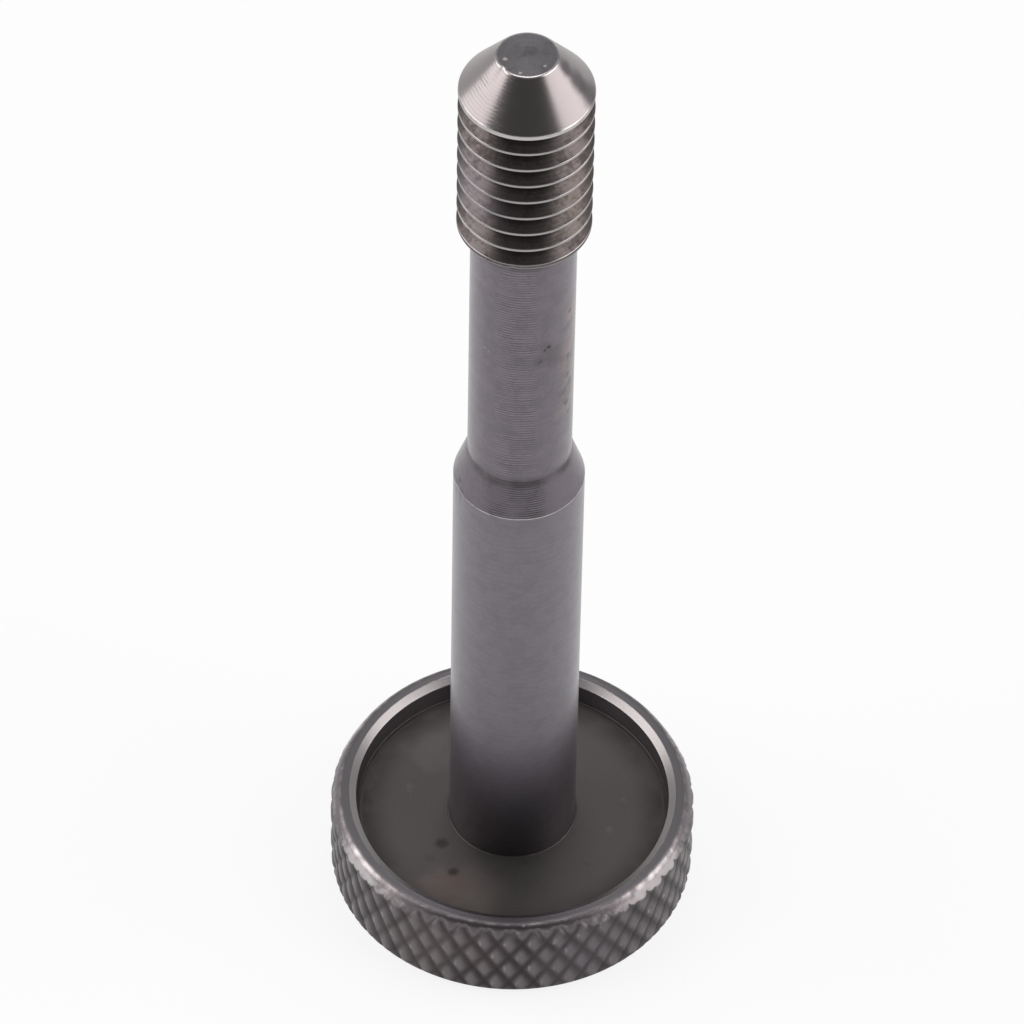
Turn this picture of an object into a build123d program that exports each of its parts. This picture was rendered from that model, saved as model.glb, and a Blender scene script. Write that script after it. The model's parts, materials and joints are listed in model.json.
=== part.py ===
from build123d import *
from math import cos, degrees, radians, tan
import os

# A turned steel bolt that stands on the flat of its knurled disc head.
# The origin is the centre of that flat, +Z runs along the axis to the tip and -Y faces the viewer.
# Lengths are in millimetres and angles in degrees.

# Disc head, with a shallow recess sunk around the shank
HEAD_DIAMETER = 17.3
HEAD_HEIGHT = 4.7
HEAD_CHAMFER_WIDTH = 0.45
HEAD_CHAMFER_HEIGHT = 0.55
RIM_FLAT_WIDTH = 0.42
RIM_BEVEL_WIDTH = 0.35
RIM_BEVEL_HEIGHT = 0.22
RECESS_DEPTH = 1.3

# Diamond knurl: straight V grooves of both hands, which cross on the front at one stated height
KNURL_GROOVES = 46
KNURL_DEPTH = 0.22
KNURL_CROSSING_HEIGHT = 2.78
KNURL_ANGLE = 32
KNURL_FLANK_ANGLE = 50

# Plain shank, from the recess floor to the shoulder that leads to the neck
SHANK_DIAMETER = 6.0
SHANK_LENGTH = 24.0
SHANK_ROOT_SIZE = 0.12
SHOULDER_LENGTH = 1.85
NECK_DIAMETER = 4.75
NECK_LENGTH = 14.3

# Ringed end: level V grooves between the neck and the cone of the tip
RING_DIAMETER = 6.0
RING_ROOT_DIAMETER = 4.8
RING_PITCH = 1.0
RING_GROOVES = 8
RING_CREST_LAND = 0.12
RING_END_LAND = 0.2
RING_END_FLANK_ANGLE = 30
TIP_LENGTH = 2.06
TIP_FLAT_DIAMETER = 2.76

# How far a cutter stands past the faces that it cuts through
CUT_OVERRUN = 0.5

# Radii and heights worked out from the sizes above
head_r = HEAD_DIAMETER / 2
chamfer_r = head_r - HEAD_CHAMFER_WIDTH
bevel_r = chamfer_r - RIM_FLAT_WIDTH
recess_r = bevel_r - RIM_BEVEL_WIDTH
shank_r = SHANK_DIAMETER / 2
neck_r = NECK_DIAMETER / 2
ring_r = RING_DIAMETER / 2
ring_root_r = RING_ROOT_DIAMETER / 2
band_middle_z = HEAD_HEIGHT / 2
floor_z = HEAD_HEIGHT - RECESS_DEPTH
shoulder_z = floor_z + SHANK_LENGTH
neck_z = shoulder_z + SHOULDER_LENGTH
ring_end_z = neck_z + NECK_LENGTH

# The knurled band has one small flat for each column of diamonds, and its corners stand just proud of them
BAND_FLATS = 2 * KNURL_GROOVES
band_corner_r = head_r / cos(radians(180 / BAND_FLATS))


def head_outline():
    """Return the head's half-section, from the axis over the rim to the foot of the shank."""
    return [
        (0, 0),
        (chamfer_r, 0),
        (band_corner_r, HEAD_CHAMFER_HEIGHT),
        (band_corner_r, HEAD_HEIGHT - HEAD_CHAMFER_HEIGHT),
        (chamfer_r, HEAD_HEIGHT),
        (bevel_r, HEAD_HEIGHT),
        (recess_r, HEAD_HEIGHT - RIM_BEVEL_HEIGHT),
        (recess_r, floor_z),
        (shank_r + SHANK_ROOT_SIZE, floor_z),
    ]


def stem_outline():
    """Return the half-section of the shank, the shoulder and the neck."""
    return [
        (shank_r, floor_z + SHANK_ROOT_SIZE),
        (shank_r, shoulder_z),
        (neck_r, neck_z),
        (neck_r, ring_end_z),
    ]


def ring_outline():
    """Return the half-section of the ringed end, from its lowest land over the tip to the axis."""
    land_z = ring_end_z + (ring_r - neck_r) * tan(radians(RING_END_FLANK_ANGLE))
    crest_z = land_z + RING_END_LAND
    points = [(ring_r, land_z)]
    for _ in range(RING_GROOVES):
        next_land_z = crest_z + RING_PITCH - RING_CREST_LAND
        points.append((ring_r, crest_z))
        points.append((ring_root_r, (crest_z + next_land_z) / 2))
        points.append((ring_r, next_land_z))
        crest_z += RING_PITCH
    tip_z = crest_z + TIP_LENGTH
    return points + [(ring_r, crest_z), (TIP_FLAT_DIAMETER / 2, tip_z), (0, tip_z)]


def turned_blank():
    """Return the bolt as it leaves the lathe, before its head is knurled."""
    outline = Polyline(*head_outline(), *stem_outline(), *ring_outline(), close=True)
    return revolve(Plane.XZ * make_face(outline), Axis.Z)


def band_trimmer():
    """Return the ring that trims the head's band to its small flats, one of them square to the front."""
    half_step = 180 / BAND_FLATS
    flats = RegularPolygon(head_r, BAND_FLATS, major_radius=False, rotation=half_step)
    return extrude(Circle(head_r + CUT_OVERRUN) - flats, HEAD_HEIGHT)


def knurl_cutter():
    """Return one V-shaped cutter, upright, with its edge on the Z axis and its back towards +X."""
    back = KNURL_DEPTH + CUT_OVERRUN
    half_width = back * tan(radians(KNURL_FLANK_ANGLE))
    reach = band_middle_z + CUT_OVERRUN
    half_length = reach / cos(radians(KNURL_ANGLE)) + half_width
    section = make_face(Polyline((0, 0), (back, half_width), (back, -half_width), close=True))
    return extrude(section, half_length, both=True)


def knurl_cutters(hand):
    """Return the ring of cutters that lean one way, each at its deepest halfway up the band.

    Args:
        hand: 1 or -1, the side to which the grooves lean.
    """
    seat = Pos(head_r - KNURL_DEPTH, 0, band_middle_z) * Rot(hand * KNURL_ANGLE, 0, 0)
    cutter = seat * knurl_cutter()
    sideways = (KNURL_CROSSING_HEIGHT - band_middle_z) * tan(radians(KNURL_ANGLE))
    turn = hand * degrees(sideways / head_r) - 90
    step = 360 / KNURL_GROOVES
    return [Rot(0, 0, i * step + turn) * cutter for i in range(KNURL_GROOVES)]


def bolt():
    """Return the finished bolt: the turned blank with both hands of the knurl cut into its band."""
    part = turned_blank() - band_trimmer()
    for hand in (1, -1):
        part = part - knurl_cutters(hand)
    return part


os.makedirs("parts", exist_ok=True)
export_step(bolt(), "parts/bolt.step")
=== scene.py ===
"""Looks of a turned steel bolt: knurled disc head, recess, plain shank, slim neck and ringed end.

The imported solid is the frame. Its box and mounts give the main sizes, in millimetres, and the finished mesh
stands in its place. Angles around the axis start at the front, on -Y, and run towards +X.
"""

import json
import logging
import math
from collections.abc import Sequence
from dataclasses import dataclass
from enum import Enum, IntEnum
from typing import TypeVar

import bpy
import numpy as np
from mathutils import Matrix, Vector, noise

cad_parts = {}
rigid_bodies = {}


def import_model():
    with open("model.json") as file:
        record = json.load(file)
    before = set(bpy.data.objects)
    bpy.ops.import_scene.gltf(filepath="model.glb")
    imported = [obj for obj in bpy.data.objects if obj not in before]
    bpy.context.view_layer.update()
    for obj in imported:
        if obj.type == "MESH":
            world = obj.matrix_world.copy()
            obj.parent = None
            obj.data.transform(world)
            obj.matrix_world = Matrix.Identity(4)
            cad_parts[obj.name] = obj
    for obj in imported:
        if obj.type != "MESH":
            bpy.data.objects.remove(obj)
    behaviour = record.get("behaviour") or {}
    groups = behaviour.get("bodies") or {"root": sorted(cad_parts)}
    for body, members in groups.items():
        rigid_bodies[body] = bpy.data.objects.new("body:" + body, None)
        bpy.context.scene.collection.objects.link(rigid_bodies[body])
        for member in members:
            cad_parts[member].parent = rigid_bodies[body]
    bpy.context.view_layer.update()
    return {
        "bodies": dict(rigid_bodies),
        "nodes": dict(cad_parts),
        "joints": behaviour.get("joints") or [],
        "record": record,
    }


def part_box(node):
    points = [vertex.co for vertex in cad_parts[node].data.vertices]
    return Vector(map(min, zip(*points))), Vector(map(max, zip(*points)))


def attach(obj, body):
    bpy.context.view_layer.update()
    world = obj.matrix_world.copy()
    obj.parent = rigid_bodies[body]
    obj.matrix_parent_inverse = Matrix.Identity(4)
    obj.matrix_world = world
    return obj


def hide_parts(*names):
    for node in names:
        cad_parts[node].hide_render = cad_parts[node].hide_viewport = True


LOG = logging.getLogger("bolt")

MM = 0.001
BODY = "root"
NODE = "bolt"
# The wear attribute also carries painted highlights, and the dirt attribute carries painted shade
WEAR_AND_HIGHLIGHT_ATTRIBUTE = "edge_wear_and_highlight"
DIRT_AND_SHADE_ATTRIBUTE = "groove_dirt_and_shade"
QUARTER_TURN = 0.25
ALL_ROUND = 360.0

# Share of an edge's wear that is missing at the bolt's sides, which leaves edges lighter at the front and the
# back: partly a painted highlight
FRONT_HIGHLIGHT = 0.6

# How strongly a stain darkens the steel, next to the dirt in a groove
STAIN_STRENGTH = 0.6

# Roughness of the thin film of oil
OIL_ROUGHNESS = 0.15

Colour = tuple[float, float, float]
Feed = float | Sequence[float] | bpy.types.NodeSocket
Amount = TypeVar("Amount", float, np.ndarray)


class Zone(IntEnum):
    """The stretches of the bolt that have a finish of their own, in the order of the material slots."""

    FACE = 0
    KNURL = 1
    RIM = 2
    BEVEL = 3
    WALL = 4
    RECESS = 5
    SHANK = 6
    SHOULDER = 7
    NECK = 8
    RINGS = 9
    CONE = 10
    TIP = 11


class Lay(Enum):
    """The direction that a tool moved in while it cut, across which its marks follow each other."""

    ALONG = "Height"
    ACROSS = "Radius"


@dataclass(frozen=True)
class Corner:
    """One corner of the half-section, in millimetres.

    Attributes:
        radius: Distance from the axis.
        height: Height above the floor.
        zone: Finish of the stretch that leads to this corner.
        rounding: Radius of the corner's arc.
        wear: How bare the arc is rubbed, from 0 to 1.
        dirt: How much dirt the corner holds, from 0 to 1.
    """

    radius: float
    height: float
    zone: Zone
    rounding: float = 0.0
    wear: float = 0.0
    dirt: float = 0.0


@dataclass(frozen=True)
class SectionPoint:
    """One point of the half-section after its corners are rounded."""

    radius: float
    height: float
    zone: Zone
    wear: float = 0.0
    dirt: float = 0.0


@dataclass(frozen=True)
class Nick:
    """A small dent, pressed towards the axis.

    Attributes:
        angle: Where it lies around the axis, in degrees.
        height: Height of its middle, in millimetres.
        size: Half its width, in millimetres.
        depth: How deep it is, in millimetres.
    """

    angle: float
    height: float
    size: float
    depth: float

    def dent(self, radius: float, height: float, angles: np.ndarray) -> np.ndarray:
        """Work out how far this nick presses in a ring of points.

        Args:
            radius: The ring's radius, in millimetres.
            height: The ring's height, in millimetres.
            angles: The angles of its points, in radians.

        Returns:
            The depth at each point, in millimetres.
        """
        turn = np.angle(np.exp(1j * (angles - math.radians(self.angle))))
        reach = np.hypot(turn * radius, height - self.height) / self.size
        return self.depth * np.exp(-reach * reach)


class Outline:
    """A half-section that is given by its corners and read as points."""

    ARC_STEPS = 5
    LONGEST_STEP = 0.8
    EDGE_STEP = 0.03
    LEG_SHARE = 0.45

    def __init__(self, corners: Sequence[Corner]) -> None:
        """Keep the corners, in the order of the half-section."""
        self.corners = list(corners)

    def points(self) -> list[SectionPoint]:
        """Return the half-section with rounded corners and no stretch that is too long."""
        found: list[SectionPoint] = []
        for index, corner in enumerate(self.corners):
            arc = self._arc(index)
            if found:
                found.extend(self._stretch(found[-1], arc[0], corner.zone))
            found.extend(arc)
        return found

    def _arc(self, index: int) -> list[SectionPoint]:
        """Return the points of one corner, which is a single point where it stays sharp."""
        corner = self.corners[index]
        here = Vector((corner.radius, corner.height))
        inner = 0 < index < len(self.corners) - 1
        if not inner or corner.rounding == 0:
            return [SectionPoint(here.x, here.y, corner.zone, corner.wear, corner.dirt)]
        before = self.corners[index - 1]
        after = self.corners[index + 1]
        back = Vector((before.radius, before.height)) - here
        ahead = Vector((after.radius, after.height)) - here
        half = back.angle(ahead) / 2
        most = self.LEG_SHARE * min(back.length, ahead.length)
        leg = min(corner.rounding / math.tan(half), most)
        radius = leg * math.tan(half)
        centre = here + (back.normalized() + ahead.normalized()).normalized() * radius / math.sin(half)
        start = here + back.normalized() * leg - centre
        end = here + ahead.normalized() * leg - centre
        sweep = start.angle_signed(end)
        points = []
        for step in range(self.ARC_STEPS + 1):
            turn = Matrix.Rotation(-sweep * step / self.ARC_STEPS, 2)
            place = centre + turn @ start
            points.append(SectionPoint(place.x, place.y, corner.zone, corner.wear, corner.dirt))
        return points

    def _stretch(self, start: SectionPoint, end: SectionPoint, zone: Zone) -> list[SectionPoint]:
        """Return the points between two corners, with one close to each of them to hold the shading.

        Args:
            start: The last point of the corner before.
            end: The first point of the corner after.
            zone: The finish of the stretch.

        Returns:
            The points in between, without the ends.
        """
        length = math.hypot(end.radius - start.radius, end.height - start.height)
        if length < 3 * self.EDGE_STEP:
            return []
        count = max(1, math.ceil((length - 2 * self.EDGE_STEP) / self.LONGEST_STEP))
        edge = self.EDGE_STEP / length
        shares = np.linspace(edge, 1 - edge, count + 1)
        return [
            SectionPoint(
                start.radius + share * (end.radius - start.radius),
                start.height + share * (end.height - start.height),
                zone,
            )
            for share in shares
        ]


class MeshDraft:
    """Rings of points and the faces between them, gathered for one closed mesh."""

    def __init__(self) -> None:
        """Start with no points."""
        self.places: list[np.ndarray] = []
        self.wear: list[np.ndarray] = []
        self.dirt: list[np.ndarray] = []
        self.faces: list[tuple[int, ...]] = []
        self.zones: list[int] = []
        self.count = 0

    def ring(
        self,
        radii: np.ndarray | float,
        heights: np.ndarray | float,
        angles: np.ndarray,
        wear: np.ndarray | float = 0.0,
        dirt: np.ndarray | float = 0.0,
    ) -> np.ndarray:
        """Add a ring of points.

        Args:
            radii: Distance of each point from the axis, in millimetres.
            heights: Height of each point, in millimetres.
            angles: Angle of each point, in radians.
            wear: How bare each point is rubbed, painted highlights included.
            dirt: How much dirt each point holds, painted shade included.

        Returns:
            The numbers of the points.
        """
        given = (radii, heights, wear, dirt)
        radii, heights, wear, dirt = (np.broadcast_to(value, angles.shape) for value in given)
        self.places.append(np.stack([radii * np.sin(angles), -radii * np.cos(angles), heights], axis=1))
        self.wear.append(wear)
        self.dirt.append(dirt)
        numbers = np.arange(self.count, self.count + len(angles))
        self.count += len(angles)
        return numbers

    def face(self, numbers: Sequence[int], zone: Zone) -> None:
        """Add one face."""
        self.faces.append(tuple(int(number) for number in numbers))
        self.zones.append(int(zone))

    def join(self, first: np.ndarray, second: np.ndarray, zone: Zone) -> None:
        """Add the faces between two rings, of which one may have a multiple of the other's points.

        Args:
            first: The ring that comes first along the half-section.
            second: The ring that comes after it.
            zone: The finish of the faces.
        """
        parts = min(len(first), len(second))
        for part in range(parts):
            run_first = self._run(first, part, parts)
            run_second = self._run(second, part, parts)
            self.face([*run_first, *reversed(run_second)], zone)

    @staticmethod
    def _run(ring: np.ndarray, part: int, parts: int) -> list[int]:
        """Return the points of a ring that belong to one of its equal parts, both ends included."""
        width = len(ring) // parts
        return [ring[(part * width + step) % len(ring)] for step in range(width + 1)]

    def lattice(self, rows: Sequence[np.ndarray], zone: Zone) -> None:
        """Add diamond faces between rows of points that are staggered by half a step.

        Args:
            rows: The rows from low to high, of which the odd ones are shifted by half a step.
            zone: The finish of the faces.
        """
        for level, row in enumerate(rows):
            after = np.roll(row, -1)
            shift = -1 if level % 2 else 0
            below = np.roll(rows[level - 1], shift) if level > 0 else None
            above = np.roll(rows[level + 1], shift) if level + 1 < len(rows) else None
            for index in range(len(row)):
                corners = [row[index], after[index]]
                if below is not None:
                    corners.insert(1, below[index])
                if above is not None:
                    corners.append(above[index])
                self.face(corners, zone)

    def close(self, ring: np.ndarray, height: float, zone: Zone, first: bool) -> None:
        """Close the mesh on the axis.

        Args:
            ring: The last ring before the axis.
            height: The height at the axis, in millimetres.
            zone: The finish of the faces.
            first: Whether the axis comes before the ring along the half-section.
        """
        middle = self.ring(0.0, height, np.zeros(1))[0]
        for here, after in zip(ring, np.roll(ring, -1)):
            self.face([middle, after, here] if first else [here, after, middle], zone)

    def mesh(self, name: str) -> bpy.types.Mesh:
        """Return the finished mesh, in metres.

        Args:
            name: The name of the new mesh.
        """
        mesh = bpy.data.meshes.new(name)
        mesh.from_pydata((np.concatenate(self.places) * MM).tolist(), [], self.faces)
        mesh.polygons.foreach_set("material_index", self.zones)
        mesh.polygons.foreach_set("use_smooth", [True] * len(self.faces))
        for attribute, values in ((WEAR_AND_HIGHLIGHT_ATTRIBUTE, self.wear), (DIRT_AND_SHADE_ATTRIBUTE, self.dirt)):
            layer = mesh.attributes.new(attribute, "FLOAT", "POINT")
            layer.data.foreach_set("value", np.concatenate(values).astype(np.float32))
        mesh.validate()
        mesh.update()
        return mesh


@dataclass(frozen=True)
class DiamondRow:
    """What the grooves of both hands do to one row of the knurled band.

    Attributes:
        depth: How deep the grooves are at each point, in millimetres.
        clean: How free each point is of groove dirt and of painted shade, from 0 to 1.
        across: Where each point lies across its diamond, from 0 at one corner to 2 at the other.
        upright: How far it lies above or below the middle of its diamond, from 0 to 1.
    """

    depth: np.ndarray
    clean: np.ndarray
    across: np.ndarray
    upright: np.ndarray


@dataclass
class KnurledHead:
    """The disc head: a knurled band between two chamfers, a flat rim and a recess around the shank.

    Lengths are in millimetres and angles in degrees. A place sideways is the sine of its angle, so it is 0 at
    the front and the back, 1 on the right and -1 on the left.

    Attributes:
        radius: Outer radius of the band.
        height: Height of the rim.
        chamfer_width: Width of both chamfers.
        chamfer_height: Height of the lower chamfer.
        chamfer_bulge: How far the lower chamfer stands out in its middle.
        chamfer_blend: Depth over which a chamfer takes over from the diamonds.
        lip: Width and height of the short slope at the rim's outer edge.
        taper_height: How far below the rim the longer slope reaches.
        flat_width: Width of the rim's flat.
        bevel_width: Width of the bevel inside it.
        bevel_height: Height of that bevel.
        recess_depth: Depth of the recess.
        rim_softness: Width over which the rim's outer edge looks rounded.
        edge_rounding: Rounding of the bevel's edges.
        corner_rounding: Rounding of the recess corner.
        bevel_wear: Wear of the bevel's upper edge.
        recess_wear: Wear of its lower edge.
        corner_dirt: Dirt in the recess corner.
        grooves: Number of grooves of each hand.
        groove_depths: Depth of the grooves of either hand.
        groove_widths: Share of a diamond's half that the dark of either hand covers, partly dirt and partly
            painted shade.
        groove_angle: Angle of the grooves to the axis.
        pillow: How sharply the diamonds fall into the grooves.
        run_out: Height over which the diamonds run out at the lip.
        kept_side: Place sideways up to which the diamonds reach into the longer slope.
        kept_reach: How gradually that ends.
        fresh_below: How far below the rim the cleaner stretch starts.
        fresh_reach: Height over which it sets in.
        top_narrowing: How much narrower the grooves are there.
        top_fading: How much less dirt they hold there.
        faint_hand: How far the grooves that lean away fade at the sides.
        hand_start: Place sideways at which that starts.
        hand_reach: How gradually it sets in.
        faint_left: How far all grooves fade on the left.
        left_start: Place sideways at which that starts.
        left_reach: How gradually it sets in.
        shade: How much darker one half of each diamond is painted, a painted shade.
        shade_start: Where across the diamond that starts.
        shade_reach: How gradually it sets in.
        glint_place: Where across the diamond its painted glint lies, a lighter ridge carried as wear.
        glint_width: Width of that glint.
        glint_reach: How far up and down the diamond it reaches.
        glint_highlight: How bright that painted highlight is.
        top_highlight: How much lighter the diamonds are painted on the longer slope, which faces up: a
            painted highlight.
        rim_wear: How bare the rim's outer edge is.
        lip_highlight: How bright the short slope is painted at the sides, a painted highlight carried as
            wear.
        taper_highlight: How bright the longer slope is painted at the sides, likewise.
        highlight_turn: How far that painted highlight is turned about the axis.
        highlight_gain: How quickly it sets in away from the front.
        highlight_fading: How much of it is missing at the far left and right.
        fading_start: Place sideways at which that starts.
        fading_reach: How gradually it sets in.
        crossing_height: Height at which the grooves cross at the front.
        unevenness: How much lower some tops are rubbed.
        unevenness_grain: Fineness of that pattern.
        unevenness_level: How much of the band it covers.
        cells: Points along each diamond's edge.
        coarse_step: How many of the band's points there are to one of the other rings.
    """

    radius: float
    height: float
    chamfer_width: float = 0.45
    chamfer_height: float = 0.55
    chamfer_bulge: float = 0.11
    chamfer_blend: float = 0.05
    lip: float = 0.17
    taper_height: float = 0.75
    flat_width: float = 0.42
    bevel_width: float = 0.35
    bevel_height: float = 0.22
    recess_depth: float = 1.3
    rim_softness: float = 0.18
    edge_rounding: float = 0.05
    corner_rounding: float = 0.06
    bevel_wear: float = 0.6
    recess_wear: float = 0.5
    corner_dirt: float = 0.9
    grooves: int = 46
    groove_depths: tuple[float, float] = (0.12, 0.09)
    groove_widths: tuple[float, float] = (0.8, 0.64)
    groove_angle: float = 32.0
    pillow: float = 2.4
    run_out: float = 0.15
    kept_side: float = 0.62
    kept_reach: float = 0.14
    fresh_below: float = 0.85
    fresh_reach: float = 0.4
    top_narrowing: float = 0.55
    top_fading: float = 0.6
    faint_hand: float = 0.65
    hand_start: float = 0.25
    hand_reach: float = 0.6
    faint_left: float = 0.45
    left_start: float = 0.5
    left_reach: float = 0.35
    shade: float = 0.5
    shade_start: float = 0.7
    shade_reach: float = 0.9
    glint_place: float = 0.62
    glint_width: float = 0.2
    glint_reach: float = 0.85
    glint_highlight: float = 0.4
    top_highlight: float = 0.9
    rim_wear: float = 0.48
    lip_highlight: float = 0.57
    taper_highlight: float = 0.82
    highlight_turn: float = 3.0
    highlight_gain: float = 3.0
    highlight_fading: float = 0.6
    fading_start: float = 0.88
    fading_reach: float = 0.1
    crossing_height: float = 2.78
    unevenness: float = 0.014
    unevenness_grain: float = 1.3
    unevenness_level: float = 0.3
    cells: int = 12
    coarse_step: int = 3

    @property
    def chamfer_radius(self) -> float:
        """Outer radius of the rim's flat."""
        return self.radius - self.chamfer_width

    @property
    def bevel_radius(self) -> float:
        """Inner radius of the rim's flat."""
        return self.chamfer_radius - self.flat_width

    @property
    def recess_radius(self) -> float:
        """Radius of the recess wall."""
        return self.bevel_radius - self.bevel_width

    @property
    def floor_height(self) -> float:
        """Height of the recess floor."""
        return self.height - self.recess_depth

    @property
    def pitch(self) -> float:
        """Distance around the band between two grooves of one hand."""
        return 2 * math.pi * self.radius / self.grooves

    def knurl_rows(self, draft: MeshDraft) -> tuple[list[np.ndarray], list[np.ndarray]]:
        """Add the band's staggered rows of points, from the lower edge to the upper one.

        Args:
            draft: The mesh that takes the points.

        Returns:
            The rows, and the angles of their points.
        """
        rise = self.pitch / (2 * math.tan(math.radians(self.groove_angle)) * self.cells)
        lowest = math.ceil(-self.crossing_height / rise)
        highest = math.floor((self.height - self.crossing_height) / rise)
        step = 2 * math.pi / (self.grooves * self.cells)
        rows, row_angles = [], []
        for level in range(lowest, highest + 1):
            height = self.crossing_height + level * rise
            if level == lowest:
                height = 0.0
            elif level == highest:
                height = self.height
            shift = 0.5 * ((level - lowest) % 2)
            origin = 0.5 * (lowest % 2)
            angles = (np.arange(self.grooves * self.cells) + shift + origin) * step
            radii, wear, dirt = self.band(angles, height)
            rows.append(draft.ring(radii, height, angles, wear, dirt))
            row_angles.append(angles)
        return rows, row_angles

    def band(self, angles: np.ndarray, height: float) -> tuple[np.ndarray, np.ndarray, np.ndarray]:
        """Work out one row of the knurled band.

        Args:
            angles: The angles of its points, in radians.
            height: The row's height, in millimetres.

        Returns:
            The radius, the wear with its painted highlights and the dirt with its painted shade at each
            point.
        """
        below_top = self.height - height
        fresh = self._smooth((self.fresh_below - below_top) / self.fresh_reach)
        row = self._diamonds(angles, height, fresh)
        run = 0.0
        if height > self.chamfer_height:
            run = self._smooth((below_top - self.lip) / self.run_out)
        kept = run * self._smooth((self.kept_side - np.abs(np.sin(angles))) / self.kept_reach)
        cut = self.radius - self.limit(height) - row.depth * (1 - kept)
        edge = self._smooth(cut / self.chamfer_blend)
        uneven = self._uneven(angles, height) * row.clean * (1 - edge)
        radii = self.radius - row.depth - np.maximum(cut, 0) - uneven
        tops = self._diamond_highlights(row, below_top, kept, edge)
        wear = np.maximum(tops, self._edge_wear_and_highlights(angles, below_top, run, edge))
        # This dirt also carries the painted shade of the grooves and of one half of each diamond
        dirt = (1 - row.clean) * (1 - edge * (1 - kept)) * (1 - self.top_fading * fresh)
        return radii, wear, dirt

    def _diamonds(self, angles: np.ndarray, height: float, fresh: float) -> DiamondRow:
        """Work out the grooves of both hands, and the diamonds between them, in one row.

        Args:
            angles: The angles of its points, in radians.
            height: The row's height, in millimetres.
            fresh: How far the row lies in the cleaner stretch below the rim, from 0 to 1.

        Returns:
            What the grooves do to the row.
        """
        lean = math.tan(math.radians(self.groove_angle)) * (height - self.crossing_height)
        narrow = 1 - self.top_narrowing * fresh
        clean = np.ones_like(angles)
        depth = np.zeros_like(angles)
        places = []
        for hand, deepest, width in zip((1, -1), self.groove_depths, self.groove_widths):
            offset = (angles * self.radius + hand * lean) / self.pitch
            side = 2 * (offset - np.round(offset))
            gap = np.abs(side)
            faint = self._faint(hand, np.sin(angles))
            shallow = deepest * (1 - faint * fresh)
            depth = np.hypot(depth, shallow * (1 - gap) ** (self.pillow / narrow))
            # The grooves' darkness is partly dirt and partly painted shade of the hollows, wider on one hand
            # as if the light fell from one side
            clean = clean * (1 - (1 - faint) * (1 - self._smooth(gap / (width * narrow))))
            places.append(np.where(side > 0, side, side + 2))
        across = (places[0] + places[1]) / 2
        upright = np.abs(places[0] - places[1]) / 2
        # Painted shade: the half of each diamond away from the light is darker
        clean = clean * (1 - self.shade * self._smooth((across - self.shade_start) / self.shade_reach))
        return DiamondRow(depth, clean, across, upright)

    def _faint(self, hand: int, sideways: np.ndarray) -> np.ndarray:
        """Work out how far the grooves of one hand fade towards the sides.

        Args:
            hand: 1 or -1, the side to which the grooves lean.
            sideways: The place of each point sideways.

        Returns:
            The share that is missing at each point.
        """
        away = self.faint_hand * self._smooth((-hand * sideways - self.hand_start) / self.hand_reach)
        left = self.faint_left * self._smooth((-sideways - self.left_start) / self.left_reach)
        return np.maximum(away, left)

    def _diamond_highlights(
        self, row: DiamondRow, below_top: float, kept: np.ndarray, edge: np.ndarray
    ) -> np.ndarray:
        """Work out the diamonds' painted highlights, as wear: a glint on each, and lighter tops on the longer
        slope.

        Args:
            row: What the grooves do to the row.
            below_top: How far the row lies below the rim, in millimetres.
            kept: How far the diamonds reach into the longer slope at each point, from 0 to 1.
            edge: How far a chamfer has taken over there, from 0 to 1.

        Returns:
            The painted highlight at each point, as wear.
        """
        # Painted highlight: a glint on each diamond, and lighter tops where the slope faces up
        glint = np.exp(-(((row.across - self.glint_place) / self.glint_width) ** 2))
        glint = self.glint_highlight * glint * (1 - self._smooth(row.upright / self.glint_reach)) * (1 - edge)
        taper = self._smooth((self.taper_height - below_top) / (self.taper_height - self.lip))
        tops = self.top_highlight * row.clean * (1 - row.upright) ** 2 * taper * kept
        return np.maximum(glint, tops)

    def _edge_wear_and_highlights(
        self, angles: np.ndarray, below_top: float, run: float, edge: np.ndarray
    ) -> np.ndarray:
        """Work out the painted highlight of the chamfers, most of it at the sides, and the wear of the rim's
        outer edge.

        Args:
            angles: The angles of the row's points, in radians.
            below_top: How far the row lies below the rim, in millimetres.
            run: 0 on the lip and the lower chamfer, 1 on the longer slope.
            edge: How far a chamfer has taken over at each point, from 0 to 1.

        Returns:
            The wear and painted highlight at each point.
        """
        # Painted highlight: the chamfers are made bare at the left and right, where the side lamps catch them
        sides = np.clip(self.highlight_gain * np.sin(angles + math.radians(self.highlight_turn)) ** 2 / 2, 0, 1)
        far = self._smooth((np.abs(np.sin(angles)) - self.fading_start) / self.fading_reach)
        sides = sides * (1 - self.highlight_fading * far)
        rubbed = sides * edge * (self.lip_highlight + (self.taper_highlight - self.lip_highlight) * run)
        return np.maximum(rubbed, self.rim_wear * self._smooth(1 - below_top / self.lip))

    def limit(self, height: float) -> float:
        """Work out the band's radius without its grooves.

        Args:
            height: The row's height, in millimetres.

        Returns:
            The radius on the lower chamfer, the band, the longer slope or the lip, in millimetres.
        """
        below_top = self.height - height
        if height < self.chamfer_height:
            share = height / self.chamfer_height
            bulge = 4 * self.chamfer_bulge * share * (1 - share)
            return self.chamfer_radius + self.chamfer_width * share + bulge
        if below_top < self.lip:
            return self.chamfer_radius + below_top
        share = min(1.0, (below_top - self.lip) / (self.taper_height - self.lip))
        return self.chamfer_radius + self.lip + (self.chamfer_width - self.lip) * share

    @staticmethod
    def _smooth(share: Amount) -> Amount:
        """Return a smooth step from 0 to 1."""
        share = np.clip(share, 0, 1)
        return share * share * (3 - 2 * share)

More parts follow.
